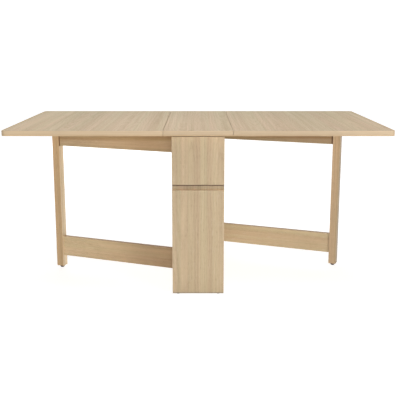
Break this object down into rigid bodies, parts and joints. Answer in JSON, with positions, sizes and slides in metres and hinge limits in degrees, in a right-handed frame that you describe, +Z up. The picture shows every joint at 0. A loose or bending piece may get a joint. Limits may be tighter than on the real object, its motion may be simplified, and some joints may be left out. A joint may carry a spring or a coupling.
{
  "type": "drop leaf table",
  "caption": "Rectangular oak drop leaf table with a narrow centre frame, a drawer with a finger groove, two long hinged leaves and two swinging gate legs.",
  "frame": {"origin": "on the floor under the middle of the open top", "axes": "+X along the table's length, +Y away from the drawer front, +Z up"},
  "size_m": [1.6992, 0.945, 0.75],
  "materials": {
    "oak_top": "clear matt lacquer over light oak",
    "oak_panel": "clear matt lacquer over light oak",
    "oak_gate": "clear matt lacquer over light oak",
    "oak_inner": "sanded and oiled oak",
    "birch_ply": "sanded birch",
    "hardwood_peg": "turned hardwood",
    "hinge_steel": "zinc plated",
    "screw_steel": "zinc plated",
    "pin_steel": "ground bar",
    "bush_brass": "turned",
    "brown_plastic": "moulded",
    "grey_felt": "pressed felt"
  },
  "bodies": {
    "frame": {"centre_top": "oak_top", "front_slab": "oak_panel", "back_slab": "oak_panel", "bay_side_left": "oak_inner", "bay_side_right": "oak_inner", "bay_floor": "birch_ply", "bay_cleats": "birch_ply", "drawer_runners": "birch_ply", "lower_stretcher": "oak_inner", "pivot_blocks": "oak_inner", "pivot_bushes": "bush_brass", "frame_dowels": "hardwood_peg", "frame_screws": "screw_steel", "slab_glides": "brown_plastic", "gate_stop_pegs": "hardwood_peg", "fold_bumpers": "grey_felt", "left_hinge_fixed_plates": "hinge_steel", "right_hinge_fixed_plates": "hinge_steel", "left_hinge_pins": "pin_steel", "right_hinge_pins": "pin_steel", "left_hinge_fixed_screws": "screw_steel", "right_hinge_fixed_screws": "screw_steel"},
    "left_gate": {"left_leg": "oak_gate", "left_stile": "oak_gate", "left_top_rail": "oak_gate", "left_bottom_rail": "oak_gate", "left_pivot_pins": "pin_steel", "left_leg_glide": "brown_plastic", "left_leg_pad": "grey_felt"},
    "right_gate": {"right_leg": "oak_gate", "right_stile": "oak_gate", "right_top_rail": "oak_gate", "right_bottom_rail": "oak_gate", "right_pivot_pins": "pin_steel", "right_leg_glide": "brown_plastic", "right_leg_pad": "grey_felt"},
    "left_leaf": {"left_leaf": "oak_top", "left_hinge_leaf_plates": "hinge_steel", "left_hinge_leaf_screws": "screw_steel"},
    "right_leaf": {"right_leaf": "oak_top", "right_hinge_leaf_plates": "hinge_steel", "right_hinge_leaf_screws": "screw_steel"},
    "drawer": {"drawer_front": "oak_panel", "drawer_inner_front": "birch_ply", "drawer_side_left": "birch_ply", "drawer_side_right": "birch_ply", "drawer_back": "birch_ply", "drawer_floor": "birch_ply", "drawer_stop_block": "oak_inner", "drawer_screws": "screw_steel"}
  },
  "joints": [
    {"name": "left_gate_swing", "type": "hinge", "parent": "frame", "child": "left_gate", "pos_m": [-0.09, -0.262, 0.39], "axis": [0, 0, -1], "range_deg": [0, 67.9]},
    {"name": "right_gate_swing", "type": "hinge", "parent": "frame", "child": "right_gate", "pos_m": [0.09, 0.262, 0.39], "axis": [0, 0, -1], "range_deg": [0, 67.9]},
    {"name": "left_leaf_lift", "type": "hinge", "parent": "frame", "child": "left_leaf", "pos_m": [-0.1508, 0, 0.727], "axis": [0, 1, 0], "range_deg": [0, 2]},
    {"name": "right_leaf_lift", "type": "hinge", "parent": "frame", "child": "right_leaf", "pos_m": [0.1508, 0, 0.727], "axis": [0, -1, 0], "range_deg": [0, 2]},
    {"name": "drawer_slide", "type": "slide", "parent": "frame", "child": "drawer", "axis": [0, -1, 0], "range_m": [0, 0.35]}
  ]
}
